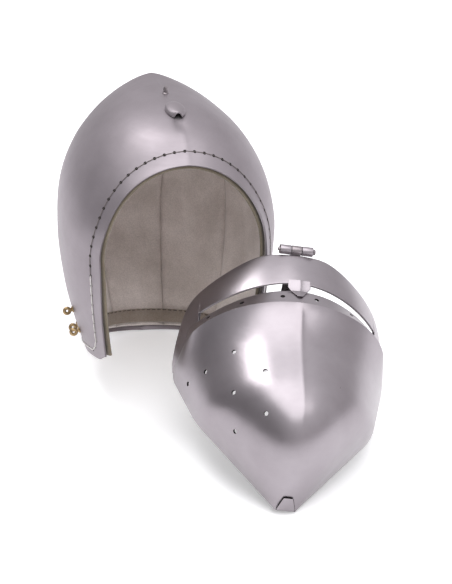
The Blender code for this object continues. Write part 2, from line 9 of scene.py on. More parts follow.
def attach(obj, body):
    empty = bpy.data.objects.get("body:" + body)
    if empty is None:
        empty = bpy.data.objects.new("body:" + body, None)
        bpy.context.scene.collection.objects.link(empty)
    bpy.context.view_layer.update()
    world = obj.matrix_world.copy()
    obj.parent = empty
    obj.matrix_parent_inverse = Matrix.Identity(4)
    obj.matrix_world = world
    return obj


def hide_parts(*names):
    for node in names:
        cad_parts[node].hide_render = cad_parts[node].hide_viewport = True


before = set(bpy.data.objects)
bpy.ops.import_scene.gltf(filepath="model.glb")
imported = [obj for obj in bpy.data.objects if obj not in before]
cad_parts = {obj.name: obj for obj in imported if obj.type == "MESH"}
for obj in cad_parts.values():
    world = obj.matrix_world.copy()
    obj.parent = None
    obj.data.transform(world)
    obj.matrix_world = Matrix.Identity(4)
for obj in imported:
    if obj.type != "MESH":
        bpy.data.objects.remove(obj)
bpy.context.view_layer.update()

# The looks of a knight's helmet: a bascinet skull and, in front of it, its visor.
# Shapes are drawn in millimetres in the helmet's own upright frame (+X the
# wearer's left, -Y the front) and placed by the frames HELMET, VISOR and LEAF.

MM = 0.001

# Skull form, as in the CAD part
APEX_Z = 256.2
APEX_BACK = 64.4
BELT_Z = 120.0
HALF_WIDTH = 102.5
FRONT_DEPTH = 112.6
BACK_DEPTH = 149.5
STEEL = 2.0
NECK_NARROW = 0.238
NECK_BACK = 0.281
NECK_FRONT = 0.071
NECK_POWER = 1.8
# Above the belt each measure is (1 - s ** first) ** second, s from 0 to 1
WIDTH_POWERS = (2.373, 0.713)
FRONT_POWERS = (7.57, 1.445)
BACK_POWERS = (1.42, 1.368)
MIDDLE_POWER = 1.191

FACE_TOP_Z = 182.3
FACE_BEND_Z = 92.5
FACE_SIDE = math.radians(53.1)
FACE_FOOT = math.radians(65.4)
CHEEK_Z = -9.0
NAPE_DROP = -7.5
SIDE_RISE = 5.0
CORNER_LIFT = 6.0

LINER_GAP = 1.5
LINER_THICK = 4.5
LINER_SEAMS = (126.0, 164.0, 202.0, 240.0)
LINER_TOP_Z = 230.0
LINER_INSET = 7.0
HEM_HEIGHT = 12.0
STITCH_INSET = 13.0
STITCH_PITCH = 9.8
NECK_STITCH_HEIGHT = 8.0

NAPE_STUDS = 11
STUD_START = math.radians(96.0)
STUD_Z = 11.5
STUD_RISE = 5.7
CHEEK_STUD_Z = 35.7

SOCKET_Z = 229.0
SOCKET_LONG = 13.5
PEG_Z = 241.5

# Finer detail of the skull
RIM_FLARE = 1.3
KEEL_HEIGHT = 0.8
KEEL_WIDTH = 3.5
RAMP_Z = 219.0                 # the dimple below the socket
RAMP_DEPTH = 2.4
SOCKET_WIDE = 9.6
SOCKET_RISE = 4.2
SOCKET_THICK = 1.6
STITCH_HOLE_RADIUS = 1.65
ARCH_FOOT_Z = 74.0             # above this the stitching thread is dark and thin

# Visor form, as in the CAD part
BROW_TOP_Z = 256.8
BROW_BACK = 49.5
BROW_WIDTH = 100.2
BROW_DEPTH = 116.3
BROW_WIDTH_POWERS = (2.34, 0.72)
BROW_FRONT_POWERS = (2.66, 0.15)
BROW_MIDDLE_POWER = 1.28
BROW_NECK_NARROW = 0.226
BROW_NECK_FRONT = 0.09
BAND_OUT = 3.5
LEDGE_OUT = 5.5
SLOT_Z = 158.9
SLOT_FALL = 25.7
SLOT_X = 85.3
SLOT_HALF = 4.8
SLOT_END = 55.4                # degrees round the brow, as are the band's other turns
SLOT_END_Z = 113.0
BAND_END = 78.5
BAND_END_FOOT = 88.0
LEDGE_REACH = 92.0
BRIDGE_TOP_Z = 166.5
CREASE_Z = 139.7
CREASE_Y = -125.5
TIP_Z = -53.4
TIP_Y = -97.5
TIP_X = 10.0
MASK_SWELL = 52.0
BREATH_DIAMETER = 4.6

HINGE_Z = 201.0
HINGE_Y = -91.1
BARREL_RADIUS = 4.6
PIN_RADIUS = 1.7
KNUCKLE_START = 5.2
KNUCKLE_END = 16.0
LEAF_KNUCKLE = 4.9
LEAF_LENGTH = 54.0
LEAF_HANG = math.radians(137.0)

# Frames
VIEW_AZIMUTH = math.radians(-14.1)
VIEW_ELEVATION = math.radians(32.0)
CAMERA_DISTANCE = 4.5
PICTURE_HEIGHT = 584.0
PICTURE_SCALE = 1.045          # picture points per millimetre at the skull
LEAN_BACK = math.radians(23.8)
LEAN_AXIS = Vector((math.cos(VIEW_AZIMUTH), math.sin(VIEW_AZIMUTH), 0.0))
STAND_AT = Vector((-46.00, 29.87, 44.84)) * MM
VISOR_AT = Vector((72.5, -96.0, -118.2)) * MM
VISOR_TURN = (math.radians(-24.4), math.radians(7.7), math.radians(-4.5))
HINGE_AT = Vector((0.0, HINGE_Y, HINGE_Z)) * MM


def euler_matrix(turn):
    rx = Matrix.Rotation(turn[0], 4, "X")
    ry = Matrix.Rotation(turn[1], 4, "Y")
    rz = Matrix.Rotation(turn[2], 4, "Z")
    return rz @ ry @ rx


HELMET = Matrix.Translation(STAND_AT) @ Matrix.Rotation(-LEAN_BACK, 4, LEAN_AXIS)
VISOR = HELMET @ Matrix.Translation(VISOR_AT) @ euler_matrix(VISOR_TURN)
LEAF = VISOR @ Matrix.Translation(HINGE_AT)


# Surfaces ---------------------------------------------------------------

def section(z):
    """Half width, front depth, back depth and middle of the skull at height z."""
    if z >= BELT_Z:
        s = min((z - BELT_Z) / (APEX_Z - BELT_Z), 1.0)
        width = HALF_WIDTH * (1.0 - s ** WIDTH_POWERS[0]) ** WIDTH_POWERS[1]
        front = FRONT_DEPTH * (1.0 - s ** FRONT_POWERS[0]) ** FRONT_POWERS[1]
        back = BACK_DEPTH * (1.0 - s ** BACK_POWERS[0]) ** BACK_POWERS[1]
        return width, front, back, APEX_BACK * s ** MIDDLE_POWER
    t = ((BELT_Z - z) / BELT_Z) ** NECK_POWER
    width = HALF_WIDTH * (1.0 - NECK_NARROW * t)
    front = FRONT_DEPTH * (1.0 - NECK_FRONT * t)
    back = BACK_DEPTH * (1.0 - NECK_BACK * t)
    return width, front, back, 0.0


def brow_section(z):
    """Half width, front depth and middle of the rounder brow that the visor follows."""
    if z >= BELT_Z:
        s = min((z - BELT_Z) / (BROW_TOP_Z - BELT_Z), 1.0)
        width = BROW_WIDTH * (1.0 - s ** BROW_WIDTH_POWERS[0]) ** BROW_WIDTH_POWERS[1]
        front = BROW_DEPTH * (1.0 - s ** BROW_FRONT_POWERS[0]) ** BROW_FRONT_POWERS[1]
        return width, front, BROW_BACK * s ** BROW_MIDDLE_POWER
    t = ((BELT_Z - z) / BELT_Z) ** NECK_POWER
    return BROW_WIDTH * (1.0 - BROW_NECK_NARROW * t), BROW_DEPTH * (1.0 - BROW_NECK_FRONT * t), 0.0


def skull_raw(angle, z):
    width, front, back, middle = section(z)
    depth = front if math.cos(angle) > 0.0 else back
    return Vector((width * math.sin(angle), middle - depth * math.cos(angle), z))


def skull_normal(angle, z):
    around = skull_raw(angle + 0.01, z) - skull_raw(angle - 0.01, z)
    low = skull_raw(angle, z - 0.5)
    high = skull_raw(angle, min(z + 0.5, APEX_Z - 0.01))
    return around.cross(high - low).normalized()


def skull_point(angle, z, offset=0.0):
    here = skull_raw(angle, z)
    if offset == 0.0:
        return here
    return here + skull_normal(angle, z) * offset


def brow_point(x, z, offset):
    width, front, middle = brow_section(z)
    width += offset
    front += offset
    reach = min(abs(x) / width, 0.9999)
    return Vector((x, middle - front * math.sqrt(1.0 - reach * reach), z))


def face_half_width(grow):
    width = section(FACE_BEND_Z)[0]
    return width * math.sin(FACE_SIDE + grow / width)


def face_angle(z, grow=0.0):
    width = section(z)[0]
    if z <= FACE_BEND_Z:
        blend = (FACE_BEND_Z - z) / (FACE_BEND_Z - CHEEK_Z)
        return FACE_SIDE + (FACE_FOOT - FACE_SIDE) * blend ** 1.6 + grow / width
    side = face_half_width(grow)
    rise = (z - FACE_BEND_Z) / (FACE_TOP_Z + grow - FACE_BEND_Z)
    if rise >= 1.0:
        return 0.0
    return math.asin(min(side * math.sqrt(1.0 - rise * rise) / width, 0.999))


def signed(angle):
    return angle if angle <= math.pi else angle - 2 * math.pi


def foot_z(angle):
    turn = (abs(angle) - FACE_FOOT) / (math.pi - FACE_FOOT)
    turn = max(0.0, min(1.0, turn))
    corner = CORNER_LIFT * math.exp(-(turn / 0.05) ** 2)
    rise = SIDE_RISE * math.sin(math.pi * turn)
    return CHEEK_Z + rise - NAPE_DROP * turn * turn + corner


def edge_angle_height(t, grow):
    leg = 0.5
    if abs(t) > leg:
        z = FACE_BEND_Z + (CHEEK_Z + 6.0 - FACE_BEND_Z) * (abs(t) - leg) / (1.0 - leg)
        return math.copysign(face_angle(z, grow), t), z
    turn = math.pi / 2 * (1.0 - abs(t) / leg)
    side = face_half_width(grow)
    z = FACE_BEND_Z + (FACE_TOP_Z + grow - FACE_BEND_Z) * math.sin(turn)
    x = side * math.cos(turn)
    return math.copysign(math.asin(min(x / section(z)[0], 0.999)), t), z


def edge_point(t, grow, offset):
    angle, z = edge_angle_height(t, grow)
    return skull_point(angle, z, offset)


def slot_z(x):
    return SLOT_Z - SLOT_FALL * (x / SLOT_X) ** 2


MASK_STOPS = (
    (0.0, Vector((95.5, -57.0, 109.0))),
    (0.15, Vector((101.5, -26.0, 84.0))),
    (0.45, Vector((84.0, -72.0, 28.0))),
    (1.0, Vector((TIP_X, TIP_Y, TIP_Z))),
)


def mask_side_raw(v):
    for (v0, p0), (v1, p1) in zip(MASK_STOPS, MASK_STOPS[1:]):
        if v <= v1:
            return p0.lerp(p1, (v - v0) / (v1 - v0))
    return MASK_STOPS[-1][1].copy()


def mask_side(v):
    """The mask's side edge with its corners eased, ends kept."""
    reach = min(0.05, v, 1.0 - v)
    total = Vector((0.0, 0.0, 0.0))
    steps = 6
    for i in range(-steps, steps + 1):
        total += mask_side_raw(v + reach * i / steps)
    return total / (2 * steps + 1)


def mask_ridge(v):
    swell = MASK_SWELL * math.sin(math.pi * v ** 1.6)
    return Vector((0.0, CREASE_Y + (TIP_Y - CREASE_Y) * v - swell, CREASE_Z + (TIP_Z - CREASE_Z) * v))


def mask_point(turn, v):
    side = mask_side(v)
    ridge = mask_ridge(v)
    across = max(math.cos(turn), 0.0)
    x = side.x * math.sin(turn)
    y = side.y + (ridge.y - side.y) * across
    z = side.z + (ridge.z - side.z) * across ** 1.3
    crest = 1.6 * math.exp(-abs(x) / 4.0) * max(0.0, 1.0 - v / 0.85) * min(1.0, v / 0.06)
    return Vector((x, y - crest, z))


def ledge_point(turn, share):
    x = LEDGE_REACH * math.sin(turn)
    top = brow_point(x, slot_z(x) - SLOT_HALF, LEDGE_OUT)
    return top.lerp(mask_point(turn, 0.0), share)


def band_top(turn):
    stops = ((0.0, 195.6), (16.8, 195.2), (24.4, 192.6), (32.9, 185.8), (41.8, 176.9), (51.5, 166.8),
             (61.0, 156.2), (66.5, 145.0), (69.8, 131.0), (73.6, 117.3), (BAND_END, 97.0))
    for (a0, z0), (a1, z1) in zip(stops, stops[1:]):
        if turn <= a1:
            return z0 + (z1 - z0) * (turn - a0) / (a1 - a0)
    return stops[-1][1]


def eased(function, turn, reach):
    steps = 4
    total = 0.0
    for i in range(-steps, steps + 1):
        total += function(abs(turn + reach * i / steps))
    return total / (2 * steps + 1)


def band_foot(turn):
    if turn <= SLOT_END:
        x = (BROW_WIDTH + BAND_OUT) * math.sin(math.radians(turn))
        return slot_z(x) + SLOT_HALF
    return SLOT_END_Z + (BAND_END_FOOT - SLOT_END_Z) * (turn - SLOT_END) / (BAND_END - SLOT_END)


# Materials --------------------------------------------------------------

def node_material(name):
    mat = bpy.data.materials.new(name)
    mat.use_nodes = True
    tree = mat.node_tree
    return mat, tree, tree.nodes["Principled BSDF"]


def noise_node(tree, scale, detail, rough=0.5, stretch=None):
    coords = tree.nodes.new("ShaderNodeTexCoord")
    out = coords.outputs["Object"]
    if stretch is not None:
        mapping = tree.nodes.new("ShaderNodeMapping")
        mapping.inputs["Scale"].default_value = stretch
        tree.links.new(out, mapping.inputs["Vector"])
        out = mapping.outputs["Vector"]
    tex = tree.nodes.new("ShaderNodeTexNoise")
    tex.inputs["Scale"].default_value = scale
    tex.inputs["Detail"].default_value = detail
    tex.inputs["Roughness"].default_value = rough
    tree.links.new(out, tex.inputs["Vector"])
    return tex


def ramp_node(tree, source, stops):
    ramp = tree.nodes.new("ShaderNodeValToRGB")
    while len(ramp.color_ramp.elements) < len(stops):
        ramp.color_ramp.elements.new(0.5)
    for element, (place, colour) in zip(ramp.color_ramp.elements, stops):
        element.position = place
        element.color = (*colour, 1.0)
    tree.links.new(source, ramp.inputs["Fac"])
    return ramp


def range_node(tree, source, low, high):
    """Spread the middle of a noise over low to high."""
    node = tree.nodes.new("ShaderNodeMapRange")
    node.inputs["From Min"].default_value = 0.3
    node.inputs["From Max"].default_value = 0.7
    node.inputs["To Min"].default_value = low
    node.inputs["To Max"].default_value = high
    tree.links.new(source, node.inputs["Value"])
    return node


def bump_node(tree, source, strength, distance, normal=None):
    bump = tree.nodes.new("ShaderNodeBump")
    bump.inputs["Strength"].default_value = strength
    bump.inputs["Distance"].default_value = distance
    tree.links.new(source, bump.inputs["Height"])
    if normal is not None:
        tree.links.new(normal, bump.inputs["Normal"])
    return bump


def steel_material(name, light, dark, rough_low, rough_high, grain):
    """Hand-finished plate: cloudy tone, polishing lines and fine grain."""
    mat, tree, shader = node_material(name)
    cloud = noise_node(tree, 14.0, 5.0, 0.6)
    tone = ramp_node(tree, cloud.outputs["Fac"], ((0.30, dark), (0.72, light)))
    tree.links.new(tone.outputs["Color"], shader.inputs["Base Color"])
    shader.inputs["Metallic"].default_value = 1.0
    lines = noise_node(tree, 60.0, 6.0, 0.7, (1.0, 1.0, 14.0))
    smear = noise_node(tree, 26.0, 4.0, 0.6)
    mixed = tree.nodes.new("ShaderNodeMath")
    mixed.operation = "MULTIPLY_ADD"
    mixed.inputs[1].default_value = 0.45
    tree.links.new(lines.outputs["Fac"], mixed.inputs[0])
    half = tree.nodes.new("ShaderNodeMath")
    half.operation = "MULTIPLY"
    half.inputs[1].default_value = 0.55
    tree.links.new(smear.outputs["Fac"], half.inputs[0])
    tree.links.new(half.outputs[0], mixed.inputs[2])
    rough = range_node(tree, mixed.outputs[0], rough_low, rough_high)
    tree.links.new(rough.outputs["Result"], shader.inputs["Roughness"])
    wave = noise_node(tree, 22.0, 2.0, 0.5)
    hammer = bump_node(tree, wave.outputs["Fac"], 0.35, 0.0012)
    fine = bump_node(tree, lines.outputs["Fac"], grain, 0.0002, hammer.outputs["Normal"])
    tree.links.new(fine.outputs["Normal"], shader.inputs["Normal"])
    return mat


def cloth_material(name, light, dark, weave_scale, fuzz):
    mat, tree, shader = node_material(name)
    cloud = noise_node(tree, 18.0, 6.0, 0.65)
    fleck = noise_node(tree, 900.0, 3.0, 0.6)
    tone = ramp_node(tree, cloud.outputs["Fac"], ((0.28, dark), (0.74, light)))
    spots = ramp_node(tree, fleck.outputs["Fac"], ((0.35, (0.80, 0.80, 0.80)), (0.65, (1.0, 1.0, 1.0))))
    mix = tree.nodes.new("ShaderNodeMix")
    mix.data_type = "RGBA"
    mix.blend_type = "MULTIPLY"
    mix.inputs[0].default_value = 1.0
    tree.links.new(tone.outputs["Color"], mix.inputs[6])
    tree.links.new(spots.outputs["Color"], mix.inputs[7])
    tree.links.new(mix.outputs[2], shader.inputs["Base Color"])
    shader.inputs["Roughness"].default_value = 0.92
    shader.inputs["Specular IOR Level"].default_value = 0.25
    shader.inputs["Sheen Weight"].default_value = fuzz
    shader.inputs["Sheen Roughness"].default_value = 0.55
    coords = tree.nodes.new("ShaderNodeTexCoord")
    waves = []
    for direction in ("X", "Z"):
        wave = tree.nodes.new("ShaderNodeTexWave")
        wave.bands_direction = direction
        wave.inputs["Scale"].default_value = weave_scale
        wave.inputs["Distortion"].default_value = 1.2
        wave.inputs["Detail"].default_value = 2.0
        tree.links.new(coords.outputs["Object"], wave.inputs["Vector"])
        waves.append(wave)
    weave = tree.nodes.new("ShaderNodeMath")
    weave.operation = "MULTIPLY"
    tree.links.new(waves[0].outputs["Fac"], weave.inputs[0])
    tree.links.new(waves[1].outputs["Fac"], weave.inputs[1])
    nap = bump_node(tree, fleck.outputs["Fac"], 0.5, 0.0003)
    thread = bump_node(tree, weave.outputs[0], 0.35, 0.0003, nap.outputs["Normal"])
    tree.links.new(thread.outputs["Normal"], shader.inputs["Normal"])
    return mat


def brass_material(name):
    mat, tree, shader = node_material(name)
    cloud = noise_node(tree, 220.0, 5.0, 0.6)
    tone = ramp_node(tree, cloud.outputs["Fac"],
                     ((0.25, (0.10, 0.065, 0.03)), (0.55, (0.42, 0.30, 0.16)), (0.8, (0.62, 0.47, 0.27))))
    tree.links.new(tone.outputs["Color"], shader.inputs["Base Color"])
    shader.inputs["Metallic"].default_value = 1.0
    rough = range_node(tree, cloud.outputs["Fac"], 0.55, 0.26)
    tree.links.new(rough.outputs["Result"], shader.inputs["Roughness"])
    bump = bump_node(tree, cloud.outputs["Fac"], 0.3, 0.0004)
    tree.links.new(bump.outputs["Normal"], shader.inputs["Normal"])
    return mat


SKULL_STEEL = steel_material("skull_plate", (0.335, 0.302, 0.325), (0.275, 0.246, 0.264), 0.47, 0.58, 0.30)
VISOR_STEEL = steel_material("visor_plate", (0.350, 0.320, 0.342), (0.280, 0.252, 0.270), 0.27, 0.38, 0.18)
HINGE_STEEL = steel_material("hinge_plate", (0.34, 0.305, 0.32), (0.16, 0.14, 0.145), 0.26, 0.42, 0.3)
# Unpolished inside steel, its colour darkened much further as painted shade for the hollow insides and the
# holes through the plates; the chin tab's dark weld line uses it too.
INSIDE_SHADE_AND_WELD_STEEL = steel_material("unpolished_inside_painted_shade_and_weld", (0.085, 0.078, 0.078), (0.045, 0.040, 0.040),
                             0.55, 0.75, 0.4)
LINEN = cloth_material("lining_linen", (0.90, 0.82, 0.78), (0.58, 0.51, 0.47), 260.0, 0.35)
HEM = cloth_material("lining_hem", (0.40, 0.335, 0.285), (0.25, 0.205, 0.165), 260.0, 0.2)
# The suede's own brown, darkened further as painted shade for the shadow line between the steel rim and the
# lining.
SUEDE_WITH_PAINTED_SHADE = cloth_material("edge_suede_painted_shade", (0.25, 0.21, 0.155), (0.14, 0.115, 0.08), 420.0, 0.3)
THREAD = cloth_material("stitch_thread", (0.88, 0.86, 0.84), (0.62, 0.59, 0.57), 700.0, 0.1)
ARCH_THREAD = cloth_material("arch_thread", (0.22, 0.19, 0.18), (0.12, 0.10, 0.095), 700.0, 0.1)
DARK_THREAD = cloth_material("seam_thread", (0.10, 0.09, 0.085), (0.05, 0.045, 0.04), 700.0, 0.0)
# Near-black knot thread that fills the stitch holes, coloured as painted shade inside the holes.
HOLE_SHADE_KNOT_THREAD = cloth_material("knot_painted_hole_shade", (0.028, 0.024, 0.022), (0.014, 0.012, 0.011), 700.0, 0.0)
BRASS = brass_material("aged_brass")


# Mesh tools -------------------------------------------------------------

def make(name, bm, mat, place, body, nodes=(), sharp=35.0, inside=None):
    """A finished piece: millimetre bmesh to a placed, smooth-shaded object."""
    bmesh.ops.remove_doubles(bm, verts=bm.verts, dist=0.0005)
    bmesh.ops.recalc_face_normals(bm, faces=bm.faces)
    bmesh.ops.scale(bm, verts=bm.verts, vec=(MM, MM, MM))
    bmesh.ops.transform(bm, matrix=place, verts=bm.verts)
    mesh = bpy.data.meshes.new(name)
    bm.to_mesh(mesh)
    bm.free()
    mesh.polygons.foreach_set("use_smooth", [True] * len(mesh.polygons))
    mesh.set_sharp_from_angle(angle=math.radians(sharp))
    obj = bpy.data.objects.new(name, mesh)
    bpy.context.scene.collection.objects.link(obj)
    mesh.materials.append(mat)
    mesh.materials.append(inside or mat)
    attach(obj, body)
    if nodes:
        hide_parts(*nodes)
    return obj


def grid_faces(bm, rows, flip=False):
    for a, b in zip(rows, rows[1:]):
        for j in range(len(a) - 1):
            quad = (a[j], a[j + 1], b[j + 1], b[j])
            bm.faces.new(tuple(reversed(quad)) if flip else quad)


def plate(outer, inner):
    """A closed plate from equal outer and inner grids; inner faces take slot 1."""
    bm = bmesh.new()
    top = [[bm.verts.new(p) for p in row] for row in outer]
    low = [[bm.verts.new(p) for p in row] for row in inner]
    grid_faces(bm, top)
    shown = len(bm.faces)
    grid_faces(bm, low, True)
    bm.faces.ensure_lookup_table()
    for face in bm.faces[shown:]:
        face.material_index = 1
    rim_top = top[0] + [row[-1] for row in top[1:]] + top[-1][-2::-1] + [row[0] for row in top[-2:0:-1]]
    rim_low = low[0] + [row[-1] for row in low[1:]] + low[-1][-2::-1] + [row[0] for row in low[-2:0:-1]]
    count = len(rim_top)
    for j in range(count):
        k = (j + 1) % count
        bm.faces.new((rim_top[j], rim_low[j], rim_low[k], rim_top[k]))
    return bm


def thicken(grid, thickness):
    rows = len(grid)
    cols = len(grid[0])
    inner = []
    for i in range(rows):
        row = []
        for j in range(cols):
            across = grid[i][min(j + 1, cols - 1)] - grid[i][max(j - 1, 0)]
            down = grid[min(i + 1, rows - 1)][j] - grid[max(i - 1, 0)][j]
            normal = down.cross(across).normalized()
            row.append(grid[i][j] - normal * thickness)
        inner.append(row)
    return inner


def soften_rim(bm, width):
    """Round the plate's sharp rim a little so that it catches the light."""
    bmesh.ops.recalc_face_normals(bm, faces=bm.faces)
    edges = [e for e in bm.edges if len(e.link_faces) == 2 and e.calc_face_angle(0.0) > math.radians(60)]
    bmesh.ops.bevel(bm, geom=edges, offset=width, segments=2, affect="EDGES", profile=0.5, clamp_overlap=True)


def add_tube(bm, path, radius, sides):
    """A round bar along a list of points, added to bm."""
    rings = []
    count = len(path)
    for i, here in enumerate(path):
        along = (path[min(i + 1, count - 1)] - path[max(i - 1, 0)]).normalized()
        turn = along.to_track_quat("Z", "Y").to_matrix()
        rings.append([bm.verts.new(here + turn @ Vector((radius * math.cos(2 * math.pi * j / sides),
                                                          radius * math.sin(2 * math.pi * j / sides), 0.0)))
                      for j in range(sides)])
    for a, b in zip(rings, rings[1:]):
        for j in range(sides):
            k = (j + 1) % sides
            bm.faces.new((a[j], a[k], b[k], b[j]))
    bm.faces.new(list(reversed(rings[0])))
    bm.faces.new(rings[-1])


def add_lathe(bm, base, axis, profile, sides):
    """A turned shape: profile of (radius, height) pairs, closed at both ends."""
    turn = axis.to_track_quat("Z", "Y").to_matrix()
    rings = []
    for r, h in profile:
        rings.append([bm.verts.new(base + turn @ Vector((r * math.cos(2 * math.pi * j / sides),
                                                          r * math.sin(2 * math.pi * j / sides), h)))
                      for j in range(sides)])
    for a, b in zip(rings, rings[1:]):
        for j in range(sides):
            k = (j + 1) % sides
            bm.faces.new((a[j], a[k], b[k], b[j]))
    bm.faces.new(list(reversed(rings[0])))
    bm.faces.new(rings[-1])


def add_ring(bm, centre, axis, spoke, radius, thick, around, tube):
    """A torus: its axis, a direction in its plane, and its two radii."""
    other = axis.cross(spoke).normalized()
    loops = []
    for i in range(around):
        a = 2 * math.pi * i / around
        out = spoke * math.cos(a) + other * math.sin(a)
        loops.append([bm.verts.new(centre + out * (radius + thick * math.cos(2 * math.pi * j / tube))
                                   + axis * thick * math.sin(2 * math.pi * j / tube)) for j in range(tube)])
    for i in range(around):
        a = loops[i]
        b = loops[(i + 1) % around]
        for j in range(tube):
            k = (j + 1) % tube
            bm.faces.new((a[j], a[k], b[k], b[j]))


def punch(obj, rods, place):
    """Cut round holes: each rod is (start, end, radius) in the frame's millimetres."""
    bm = bmesh.new()
    for start, end, radius in rods:
        add_tube(bm, [start, end], radius, 16)
    bmesh.ops.recalc_face_normals(bm, faces=bm.faces)
    for face in bm.faces:
        face.material_index = 1
    bmesh.ops.scale(bm, verts=bm.verts, vec=(MM, MM, MM))
    bmesh.ops.transform(bm, matrix=place, verts=bm.verts)
    mesh = bpy.data.meshes.new("rods")
    bm.to_mesh(mesh)
    bm.free()
    tool = bpy.data.objects.new("rods", mesh)
    bpy.context.scene.collection.objects.link(tool)
    mod = obj.modifiers.new("holes", "BOOLEAN")
    mod.operation = "DIFFERENCE"
    mod.solver = "EXACT"
    mod.object = tool
    bpy.context.view_layer.update()
    cut = bpy.data.meshes.new_from_object(obj.evaluated_get(bpy.context.evaluated_depsgraph_get()))
    obj.modifiers.clear()
    name = obj.data.name
    old = obj.data
    obj.data = cut
    bpy.data.meshes.remove(old)
    cut.name = name
    bpy.data.objects.remove(tool, do_unlink=True)
    bpy.data.meshes.remove(mesh)
    cut.polygons.foreach_set("use_smooth", [True] * len(cut.polygons))
    cut.set_sharp_from_angle(angle=math.radians(35.0))


# Skull ------------------------------------------------------------------

def edge_tree():
    """Nearest-distance lookup to the face opening's edge."""
    count = 400
    tree = KDTree(count + 1)
    for i in range(count + 1):
        tree.insert(edge_point(-1.0 + 2.0 * i / count, 0.0, 0.0), i)
    tree.balance()
    return tree


EDGE = edge_tree()


def skull_detail(p, angle):
    """How far the real plate stands off the plain form, in millimetres."""
    d = EDGE.find(p)[2]
    lift = 0.0
    if d < STITCH_INSET and p.y < 30.0:
        lift += RIM_FLARE * (1.0 - d / STITCH_INSET) ** 2
    front = math.cos(angle)
    lift += KEEL_HEIGHT * math.exp(-abs(p.x) / KEEL_WIDTH) * min(1.0, max(0.0, abs(front) * 3.0 - 2.0))
    ramp = math.hypot(p.x / 7.5, (p.z - RAMP_Z) / 8.5)
    if front > 0.0 and ramp < 1.6:
        lift -= RAMP_DEPTH * math.exp(-(ramp * 1.5) ** 2)
    lift += 0.35 * noise.noise(p * 0.025) + 0.12 * noise.noise(p * 0.07)
    return lift


def skull_rows(legs, arch, crown):
    rows = [("leg", i / legs) for i in range(legs)]
    rows += [("z", FACE_BEND_Z + (FACE_TOP_Z - FACE_BEND_Z) * math.sin(math.pi / 2 * i / arch))
             for i in range(arch + 1)]
    rows += [("z", FACE_TOP_Z + (APEX_Z - FACE_TOP_Z) * math.sin(math.pi / 2 * i / crown))
             for i in range(1, crown)]
    return rows


def build_skull():
    columns = 190
    legs, arch, crown = 36, 34, 44
    bm = bmesh.new()
    outer = []
    inner = []
    for kind, value in skull_rows(legs, arch, crown):
        row_out = []
        row_in = []
        for j in range(columns + 1):
            if kind == "leg":
                edge = face_angle(CHEEK_Z + value * (FACE_BEND_Z - CHEEK_Z))
            else:
                edge = face_angle(value)
            angle = edge + (2 * math.pi - 2 * edge) * j / columns
            if kind == "leg":
                foot = foot_z(signed(angle))
                z = foot + (FACE_BEND_Z - foot) * value
            else:
                z = min(value, APEX_Z - 1.0)
            here = skull_raw(angle, z)
            normal = skull_normal(angle, z)
            lift = skull_detail(here, angle) * min(1.0, (APEX_Z - z) / 12.0)
            row_out.append(bm.verts.new(here + normal * lift))
            drop = 11.0 * max(0.0, (z - FACE_TOP_Z) / (APEX_Z - FACE_TOP_Z)) ** 2
            if drop > 0.0:
                here = skull_raw(angle, z - drop)
                normal = skull_normal(angle, z - drop)
            row_in.append(bm.verts.new(here + normal * (lift - STEEL)))
        outer.append(row_out)
        inner.append(row_in)
    tip_out = bm.verts.new(Vector((0.0, APEX_BACK, APEX_Z)))
    tip_in = bm.verts.new(Vector((0.0, APEX_BACK - 12.0, APEX_Z - 12.5)))
    grid_faces(bm, outer)
    grid_faces(bm, inner, True)
    for j in range(columns):
        bm.faces.new((outer[-1][j], outer[-1][j + 1], tip_out))
        bm.faces.new((inner[-1][j + 1], inner[-1][j], tip_in))
        bm.faces.new((outer[0][j + 1], outer[0][j], inner[0][j], inner[0][j + 1]))
    for i in range(legs + arch):
        bm.faces.new((outer[i][0], outer[i + 1][0], inner[i + 1][0], inner[i][0]))
        bm.faces.new((outer[i + 1][-1], outer[i][-1], inner[i][-1], inner[i + 1][-1]))
    bmesh.ops.remove_doubles(bm, verts=bm.verts, dist=0.01)
    soften_rim(bm, 0.55)
    obj = make("skull_plate", bm, SKULL_STEEL, HELMET, "skull", ["skull_bowl"],
               inside=INSIDE_SHADE_AND_WELD_STEEL)
    rods = []
    for here, normal in STITCH_HOLES:
        rods.append((here - normal * 4.0, here + normal * 4.0, STITCH_HOLE_RADIUS))
    punch(obj, rods, HELMET)
    return obj


def stitch_line():
    """The stitching's closed route over the skull, as (angle, height) pairs."""
    route = []
    corner = FACE_FOOT + 0.19
    for i in range(60):
        angle = math.pi - (math.pi - corner) * i / 60
        route.append((-angle, foot_z(angle) + NECK_STITCH_HEIGHT))
    for i in range(241):
        t = -0.94 + 1.88 * i / 240
        route.append(edge_angle_height(t, STITCH_INSET))
    for i in range(60):
        angle = corner + (math.pi - corner) * (i + 1) / 60
        route.append((angle, foot_z(angle) + NECK_STITCH_HEIGHT))
    return route


def stitch_holes():
    """Holes every STITCH_PITCH millimetres along the stitching's route."""
    points = []
    for angle, z in stitch_line():
        points.append((skull_raw(angle, z), skull_normal(angle, z), angle))
    holes = []
    travelled = 0.0
    target = STITCH_PITCH / 2
    for (p0, n0, a0), (p1, n1, _) in zip(points, points[1:]):
        step = (p1 - p0).length
        while travelled + step >= target:
            share = (target - travelled) / step
            here = p0.lerp(p1, share)
            normal = n0.lerp(n1, share).normalized()
            lift = skull_detail(here, a0)
            holes.append((here + normal * lift, normal))
            target += STITCH_PITCH
        travelled += step
    return holes


STITCH_HOLES = stitch_holes()
KNOT_PROFILE = ((1.2, -2.6), (1.5, -1.4), (1.45, -0.5), (1.0, -0.1), (0.5, 0.0))


